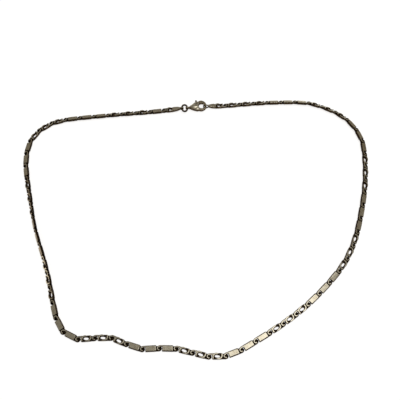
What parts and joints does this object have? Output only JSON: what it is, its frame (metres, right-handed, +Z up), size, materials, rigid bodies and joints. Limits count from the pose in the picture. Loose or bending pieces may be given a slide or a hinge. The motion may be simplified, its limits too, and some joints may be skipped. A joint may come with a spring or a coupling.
{
  "type": "chain necklace",
  "caption": "Fastened necklace chain of flat metal links, plain plates and pierced scroll plates in alternating groups, closed by a jump ring and lobster clasp, lying in a loop.",
  "frame": {"origin": "under the middle of the whole necklace's box, on the surface that it lies on", "axes": "+Z up from the surface, +X to the right with the clasp at the back (+Y) and the front of the loop towards -Y"},
  "size_m": [0.1584, 0.1232, 0.0028],
  "materials": {
    "chain_silver": "aged silver tone, dark in the recesses",
    "clasp_silver": "cast, polished and aged silver tone",
    "ring_silver": "dark oxidised silver tone",
    "pin_steel": "peened and worn",
    "spring_steel": "plain spring steel"
  },
  "bodies": {
    "link_01_scroll": {"link_01_scroll": "chain_silver"},
    "link_pair_02_03": {"link_pair_02_03": "chain_silver"},
    "link_04_plate": {"link_04_plate": "chain_silver"},
    "link_05_plate": {"link_05_plate": "chain_silver"},
    "link_06_plate": {"link_06_plate": "chain_silver"},
    "link_pair_07_08": {"link_pair_07_08": "chain_silver"},
    "link_09_scroll": {"link_09_scroll": "chain_silver"},
    "link_10_plate": {"link_10_plate": "chain_silver"},
    "link_11_plate": {"link_11_plate": "chain_silver"},
    "link_pair_12_13": {"link_pair_12_13": "chain_silver"},
    "link_14_scroll": {"link_14_scroll": "chain_silver"},
    "link_15_scroll": {"link_15_scroll": "chain_silver"},
    "link_16_plate": {"link_16_plate": "chain_silver"},
    "link_pair_17_18": {"link_pair_17_18": "chain_silver"},
    "link_19_scroll": {"link_19_scroll": "chain_silver"},
    "link_20_scroll": {"link_20_scroll": "chain_silver"},
    "link_21_scroll": {"link_21_scroll": "chain_silver"},
    "link_pair_22_23": {"link_pair_22_23": "chain_silver"},
    "link_24_plate": {"link_24_plate": "chain_silver"},
    "link_25_scroll": {"link_25_scroll": "chain_silver"},
    "link_26_scroll": {"link_26_scroll": "chain_silver"},
    "link_pair_27_28": {"link_pair_27_28": "chain_silver"},
    "link_29_plate": {"link_29_plate": "chain_silver"},
    "link_30_plate": {"link_30_plate": "chain_silver"},
    "link_31_scroll": {"link_31_scroll": "chain_silver"},
    "link_pair_32_33": {"link_pair_32_33": "chain_silver"},
    "link_34_plate": {"link_34_plate": "chain_silver"},
    "link_35_plate": {"link_35_plate": "chain_silver"},
    "link_36_plate": {"link_36_plate": "chain_silver"},
    "link_pair_37_38": {"link_pair_37_38": "chain_silver"},
    "link_39_scroll": {"link_39_scroll": "chain_silver"},
    "link_40_plate": {"link_40_plate": "chain_silver"},
    "link_41_plate": {"link_41_plate": "chain_silver"},
    "link_pair_42_43": {"link_pair_42_43": "chain_silver"},
    "link_44_scroll": {"link_44_scroll": "chain_silver"},
    "link_45_scroll": {"link_45_scroll": "chain_silver"},
    "link_46_plate": {"link_46_plate": "chain_silver"},
    "link_pair_47_48": {"link_pair_47_48": "chain_silver"},
    "link_49_scroll": {"link_49_scroll": "chain_silver"},
    "link_50_scroll": {"link_50_scroll": "chain_silver"},
    "link_51_scroll": {"link_51_scroll": "chain_silver"},
    "link_pair_52_53": {"link_pair_52_53": "chain_silver"},
    "link_54_plate": {"link_54_plate": "chain_silver"},
    "link_55_scroll": {"link_55_scroll": "chain_silver"},
    "link_56_scroll": {"link_56_scroll": "chain_silver"},
    "link_pair_57_58": {"link_pair_57_58": "chain_silver"},
    "link_59_plate": {"link_59_plate": "chain_silver"},
    "link_60_plate": {"link_60_plate": "chain_silver"},
    "link_61_scroll": {"link_61_scroll": "chain_silver"},
    "link_pair_62_63": {"link_pair_62_63": "chain_silver"},
    "link_64_plate": {"link_64_plate": "chain_silver"},
    "left_end_tag": {"left_end_tag": "chain_silver"},
    "right_end_tag": {"right_end_tag": "chain_silver"},
    "jump_ring": {"jump_ring": "ring_silver"},
    "clasp_body": {"clasp_body": "clasp_silver", "lever_pin": "pin_steel", "lever_spring": "spring_steel"},
    "clasp_lever": {"clasp_lever": "clasp_silver"}
  },
  "joints": [
    {"name": "turn_04", "type": "hinge", "parent": "link_05_plate", "child": "link_04_plate", "pos_m": [0.04101, 0.06017, 0.0011], "axis": [-0.0162, 0.4117, 0.9112], "range_deg": [-4.85, 4.85]},
    {"name": "turn_03", "type": "hinge", "parent": "link_04_plate", "child": "link_pair_02_03", "pos_m": [0.03433, 0.05993, 0.00109], "axis": [-0.0162, 0.4117, 0.9112], "range_deg": [-4.9, 4.9]},
    {"name": "turn_01", "type": "hinge", "parent": "link_pair_02_03", "child": "link_01_scroll", "pos_m": [0.02098, 0.059, 0.0009], "axis": [-0.0309, 0.1831, 0.9826], "range_deg": [-5.05, 5.05]},
    {"name": "turn_00", "type": "hinge", "parent": "link_01_scroll", "child": "right_end_tag", "pos_m": [0.01431, 0.05844, 0.0008], "axis": [-0.0309, 0.1831, 0.9826], "range_deg": [-5.05, 5.05]},
    {"name": "turn_09", "type": "hinge", "parent": "link_10_plate", "child": "link_09_scroll", "pos_m": [0.07182, 0.05019, 0.00107], "axis": [0.2539, 0.3074, 0.9171], "range_deg": [-2.56, 2.56]},
    {"name": "turn_08", "type": "hinge", "parent": "link_09_scroll", "child": "link_pair_07_08", "pos_m": [0.06663, 0.05442, 0.00109], "axis": [0.2539, 0.3074, 0.9171], "range_deg": [-2.61, 2.61]},
    {"name": "turn_06", "type": "hinge", "parent": "link_pair_07_08", "child": "link_06_plate", "pos_m": [0.05437, 0.05969, 0.00112], "axis": [0.0346, 0.4318, 0.9013], "range_deg": [-3.04, 3.04]},
    {"name": "turn_05", "type": "hinge", "parent": "link_06_plate", "child": "link_05_plate", "pos_m": [0.0477, 0.06025, 0.00111], "axis": [0.0346, 0.4318, 0.9013], "range_deg": [-3.04, 3.04]},
    {"name": "turn_14", "type": "hinge", "parent": "link_15_scroll", "child": "link_14_scroll", "pos_m": [0.07662, 0.0183, 0.00102], "axis": [-0.3395, 0.0418, -0.9397], "range_deg": [-5.48, 5.48]},
    {"name": "turn_13", "type": "hinge", "parent": "link_14_scroll", "child": "link_pair_12_13", "pos_m": [0.07744, 0.02494, 0.00102], "axis": [-0.3395, 0.0418, -0.9397], "range_deg": [-5.53, 5.53]},
    {"name": "turn_11", "type": "hinge", "parent": "link_pair_12_13", "child": "link_11_plate", "pos_m": [0.0777, 0.0383, 0.00104], "axis": [-0.348, -0.1151, -0.9304], "range_deg": [-6.05, 6.05]},
    {"name": "turn_10", "type": "hinge", "parent": "link_11_plate", "child": "link_10_plate", "pos_m": [0.07555, 0.04464, 0.00106], "axis": [-0.348, -0.1151, -0.9304], "range_deg": [-6.05, 6.05]},
    {"name": "turn_19", "type": "hinge", "parent": "link_20_scroll", "child": "link_19_scroll", "pos_m": [0.06743, -0.01379, 0.00098], "axis": [-0.297, 0.1266, -0.9464], "range_deg": [-7.93, 7.93]},
    {"name": "turn_18", "type": "hinge", "parent": "link_19_scroll", "child": "link_pair_17_18", "pos_m": [0.06994, -0.00759, 0.00102], "axis": [-0.297, 0.1266, -0.9464], "range_deg": [-7.98, 7.98]},
    {"name": "turn_16", "type": "hinge", "parent": "link_pair_17_18", "child": "link_16_plate", "pos_m": [0.07379, 0.00523, 0.00102], "axis": [-0.332, 0.0822, -0.9397], "range_deg": [-8.05, 8.05]},
    {"name": "turn_15", "type": "hinge", "parent": "link_16_plate", "child": "link_15_scroll", "pos_m": [0.0754, 0.01172, 0.00102], "axis": [-0.332, 0.0822, -0.9397], "range_deg": [-8.05, 8.05]},
    {"name": "turn_24", "type": "hinge", "parent": "link_25_scroll", "child": "link_24_plate", "pos_m": [0.04621, -0.03933, 0.00076], "axis": [0.0787, -0.0971, 0.9922], "range_deg": [-6.81, 6.81]},
    {"name": "turn_23", "type": "hinge", "parent": "link_24_plate", "child": "link_pair_22_23", "pos_m": [0.05116, -0.03483, 0.00081], "axis": [0.0787, -0.0971, 0.9922], "range_deg": [-6.86, 6.86]},
    {"name": "turn_21", "type": "hinge", "parent": "link_pair_22_23", "child": "link_21_scroll", "pos_m": [0.06032, -0.02509, 0.0009], "axis": [0.1942, -0.1491, 0.9696], "range_deg": [-7.05, 7.05]},
    {"name": "turn_20", "type": "hinge", "parent": "link_21_scroll", "child": "link_20_scroll", "pos_m": [0.06426, -0.01968, 0.00094], "axis": [0.1942, -0.1491, 0.9696], "range_deg": [-7.05, 7.05]},
    {"name": "turn_29", "type": "hinge", "parent": "link_30_plate", "child": "link_29_plate", "pos_m": [0.01839, -0.05783, 0.00063], "axis": [0, 0, -1], "range_deg": [-7.95, 7.95]},
    {"name": "turn_28", "type": "hinge", "parent": "link_29_plate", "child": "link_pair_27_28", "pos_m": [0.02415, -0.05443, 0.00063], "axis": [0, 0, -1], "range_deg": [-8, 8]},
    {"name": "turn_26", "type": "hinge", "parent": "link_pair_27_28", "child": "link_26_scroll", "pos_m": [0.03553, -0.04739, 0.00069], "axis": [-0.034, 0.0561, -0.9978], "range_deg": [-8.05, 8.05]},
    {"name": "turn_25", "type": "hinge", "parent": "link_26_scroll", "child": "link_25_scroll", "pos_m": [0.04099, -0.04352, 0.00073], "axis": [-0.034, 0.0561, -0.9978], "range_deg": [-8.05, 8.05]},
    {"name": "turn_30", "type": "hinge", "parent": "link_30_plate", "child": "link_31_scroll", "pos_m": [0.01213, -0.06019, 0.00063], "axis": [0, 0, 1], "range_deg": [-7, 7]},
    {"name": "turn_31", "type": "hinge", "parent": "link_31_scroll", "child": "link_pair_32_33", "pos_m": [0.00544, -0.06036, 0.00063], "axis": [0, 0, 1], "range_deg": [-7.05, 7.05]},
    {"name": "turn_33", "type": "hinge", "parent": "link_pair_32_33", "child": "link_34_plate", "pos_m": [-0.00758, -0.05728, 0.00063], "axis": [0, 0, 1], "range_deg": [-7.04, 7.04]},
    {"name": "turn_34", "type": "hinge", "parent": "link_34_plate", "child": "link_35_plate", "pos_m": [-0.01427, -0.05713, 0.00063], "axis": [0, 0, 1], "range_deg": [-7.04, 7.04]},
    {"name": "turn_35", "type": "hinge", "parent": "link_35_plate", "child": "link_36_plate", "pos_m": [-0.02095, -0.05747, 0.00063], "axis": [0, 0, 1], "range_deg": [-6, 6]},
    {"name": "turn_36", "type": "hinge", "parent": "link_36_plate", "child": "link_pair_37_38", "pos_m": [-0.02733, -0.05544, 0.00063], "axis": [0, 0, 1], "range_deg": [-6.05, 6.05]},
    {"name": "turn_38", "type": "hinge", "parent": "link_pair_37_38", "child": "link_39_scroll", "pos_m": [-0.04022, -0.0531, 0.00063], "axis": [0.0116, -0.0254, 0.9996], "range_deg": [-5.62, 5.62]},
    {"name": "turn_39", "type": "hinge", "parent": "link_39_scroll", "child": "link_40_plate", "pos_m": [-0.0469, -0.0536, 0.00069], "axis": [0.0116, -0.0254, 0.9996], "range_deg": [-5.62, 5.62]},
    {"name": "turn_40", "type": "hinge", "parent": "link_40_plate", "child": "link_41_plate", "pos_m": [-0.05291, -0.05065, 0.00084], "axis": [-0.1959, -0.1436, 0.97], "range_deg": [-4, 4]},
    {"name": "turn_41", "type": "hinge", "parent": "link_41_plate", "child": "link_pair_42_43", "pos_m": [-0.05636, -0.04492, 0.00099], "axis": [-0.1959, -0.1436, 0.97], "range_deg": [-4.05, 4.05]},
    {"name": "turn_43", "type": "hinge", "parent": "link_pair_42_43", "child": "link_44_scroll", "pos_m": [-0.06012, -0.03209, 0.00127], "axis": [-0.638, -0.202, 0.7431], "range_deg": [-3.49, 3.49]},
    {"name": "turn_44", "type": "hinge", "parent": "link_44_scroll", "child": "link_45_scroll", "pos_m": [-0.06203, -0.02567, 0.00137], "axis": [-0.638, -0.202, 0.7431], "range_deg": [-3.49, 3.49]},
    {"name": "turn_45", "type": "hinge", "parent": "link_45_scroll", "child": "link_46_plate", "pos_m": [-0.06424, -0.01936, 0.00142], "axis": [0.8016, 0.3159, -0.5075], "range_deg": [-10, 10]},
    {"name": "turn_46", "type": "hinge", "parent": "link_46_plate", "child": "link_pair_47_48", "pos_m": [-0.06668, -0.01313, 0.00144], "axis": [0.8016, 0.3159, -0.5075], "range_deg": [-10.05, 10.05]},
    {"name": "turn_48", "type": "hinge", "parent": "link_pair_47_48", "child": "link_49_scroll", "pos_m": [-0.07101, -0.00048, 0.00144], "axis": [0.793, 0.2054, -0.5736], "range_deg": [-10, 10]},
    {"name": "turn_49", "type": "hinge", "parent": "link_49_scroll", "child": "link_50_scroll", "pos_m": [-0.07272, 0.00599, 0.00139], "axis": [0.793, 0.2054, -0.5736], "range_deg": [-10, 10]},
    {"name": "turn_50", "type": "hinge", "parent": "link_50_scroll", "child": "link_51_scroll", "pos_m": [-0.07443, 0.01246, 0.0013], "axis": [-0.5594, -0.1274, 0.819], "range_deg": [-3, 3]},
    {"name": "turn_51", "type": "hinge", "parent": "link_51_scroll", "child": "link_pair_52_53", "pos_m": [-0.07608, 0.01894, 0.00118], "axis": [-0.5594, -0.1274, 0.819], "range_deg": [-3.05, 3.05]},
    {"name": "turn_53", "type": "hinge", "parent": "link_pair_52_53", "child": "link_54_plate", "pos_m": [-0.07793, 0.03216, 0.00088], "axis": [-0.1701, 0.0366, 0.9847], "range_deg": [-2.57, 2.57]},
    {"name": "turn_54", "type": "hinge", "parent": "link_54_plate", "child": "link_55_scroll", "pos_m": [-0.07696, 0.03878, 0.0008], "axis": [-0.1701, 0.0366, 0.9847], "range_deg": [-2.57, 2.57]},
    {"name": "turn_55", "type": "hinge", "parent": "link_55_scroll", "child": "link_56_scroll", "pos_m": [-0.07343, 0.04446, 0.0008], "axis": [0.1067, -0.13, -0.9858], "range_deg": [-4, 4]},
    {"name": "turn_56", "type": "hinge", "parent": "link_56_scroll", "child": "link_pair_57_58", "pos_m": [-0.06802, 0.0484, 0.00086], "axis": [0.1067, -0.13, -0.9858], "range_deg": [-4.05, 4.05]},
    {"name": "turn_58", "type": "hinge", "parent": "link_pair_57_58", "child": "link_59_plate", "pos_m": [-0.055, 0.0513, 0.00099], "axis": [0.04, -0.3231, -0.9455], "range_deg": [-3.5, 3.5]},
    {"name": "turn_59", "type": "hinge", "parent": "link_59_plate", "child": "link_60_plate", "pos_m": [-0.04834, 0.05202, 0.00102], "axis": [0.04, -0.3231, -0.9455], "range_deg": [-3.5, 3.5]},
    {"name": "turn_60", "type": "hinge", "parent": "link_60_plate", "child": "link_61_scroll", "pos_m": [-0.04169, 0.05273, 0.00106], "axis": [0.0396, -0.3725, -0.9272], "range_deg": [-5, 5]},
    {"name": "turn_61", "type": "hinge", "parent": "link_61_scroll", "child": "link_pair_62_63", "pos_m": [-0.03504, 0.05343, 0.00106], "axis": [0.0396, -0.3725, -0.9272], "range_deg": [-5.05, 5.05]},
    {"name": "turn_63", "type": "hinge", "parent": "link_pair_62_63", "child": "link_64_plate", "pos_m": [-0.02173, 0.05479, 0.00089], "axis": [0.0094, -0.1796, -0.9837], "range_deg": [-4.94, 4.94]},
    {"name": "turn_64", "type": "hinge", "parent": "link_64_plate", "child": "left_end_tag", "pos_m": [-0.01509, 0.05564, 0.0008], "axis": [0.0094, -0.1796, -0.9837], "range_deg": [-4.94, 4.94]},
    {"name": "ring_tilt", "type": "hinge", "parent": "left_end_tag", "child": "jump_ring", "pos_m": [-0.00533, 0.05657, 0.00145], "axis": [0.9955, 0.0948, 0], "range_deg": [-10, 10]},
    {"name": "clasp_roll", "type": "hinge", "parent": "jump_ring", "child": "clasp_body", "pos_m": [-0.00414, 0.05668, 0.0014], "axis": [-0.9955, -0.0948, 0], "range_deg": [-10, 10]},
    {"name": "lever_press", "type": "hinge", "parent": "clasp_body", "child": "clasp_lever", "pos_m": [0.00036, 0.05902, 0.0014], "axis": [0, 0, -1], "range_deg": [0, 16], "stiffness_Nm_per_rad": 0.0005, "springref_deg": -17.19, "deforming": ["lever_spring"]}
  ],
  "couplings": [
    {"joint": "turn_03", "follows": "turn_04", "ratio": -1},
    {"joint": "turn_01", "follows": "turn_04", "ratio": -1.03},
    {"joint": "turn_00", "follows": "turn_04", "ratio": 1.03},
    {"joint": "turn_08", "follows": "turn_09", "ratio": -1},
    {"joint": "turn_06", "follows": "turn_09", "ratio": -1.1696},
    {"joint": "turn_05", "follows": "turn_09", "ratio": 1.1696},
    {"joint": "turn_13", "follows": "turn_14", "ratio": -1},
    {"joint": "turn_11", "follows": "turn_14", "ratio": -1.0955},
    {"joint": "turn_10", "follows": "turn_14", "ratio": 1.0955},
    {"joint": "turn_18", "follows": "turn_19", "ratio": -1},
    {"joint": "turn_16", "follows": "turn_19", "ratio": -1.0091},
    {"joint": "turn_15", "follows": "turn_19", "ratio": 1.0091},
    {"joint": "turn_23", "follows": "turn_24", "ratio": -1},
    {"joint": "turn_21", "follows": "turn_24", "ratio": -1.0284},
    {"joint": "turn_20", "follows": "turn_24", "ratio": 1.0284},
    {"joint": "turn_28", "follows": "turn_29", "ratio": -1},
    {"joint": "turn_26", "follows": "turn_29", "ratio": -1.0057},
    {"joint": "turn_25", "follows": "turn_29", "ratio": 1.0057},
    {"joint": "turn_31", "follows": "turn_30", "ratio": -1},
    {"joint": "turn_33", "follows": "turn_30", "ratio": -0.9989},
    {"joint": "turn_34", "follows": "turn_30", "ratio": 0.9989},
    {"joint": "turn_36", "follows": "turn_35", "ratio": -1},
    {"joint": "turn_38", "follows": "turn_35", "ratio": -0.9277},
    {"joint": "turn_39", "follows": "turn_35", "ratio": 0.9277},
    {"joint": "turn_41", "follows": "turn_40", "ratio": -1},
    {"joint": "turn_43", "follows": "turn_40", "ratio": -0.8589},
    {"joint": "turn_44", "follows": "turn_40", "ratio": 0.8589},
    {"joint": "turn_46", "follows": "turn_45", "ratio": -1},
    {"joint": "turn_48", "follows": "turn_45", "ratio": -0.9954},
    {"joint": "turn_49", "follows": "turn_45", "ratio": 0.9954},
    {"joint": "turn_51", "follows": "turn_50", "ratio": -1},
    {"joint": "turn_53", "follows": "turn_50", "ratio": -0.8408},
    {"joint": "turn_54", "follows": "turn_50", "ratio": 0.8408},
    {"joint": "turn_56", "follows": "turn_55", "ratio": -1},
    {"joint": "turn_58", "follows": "turn_55", "ratio": -0.8629},
    {"joint": "turn_59", "follows": "turn_55", "ratio": 0.8629},
    {"joint": "turn_61", "follows": "turn_60", "ratio": -1},
    {"joint": "turn_63", "follows": "turn_60", "ratio": -0.979},
    {"joint": "turn_64", "follows": "turn_60", "ratio": 0.979}
  ]
}
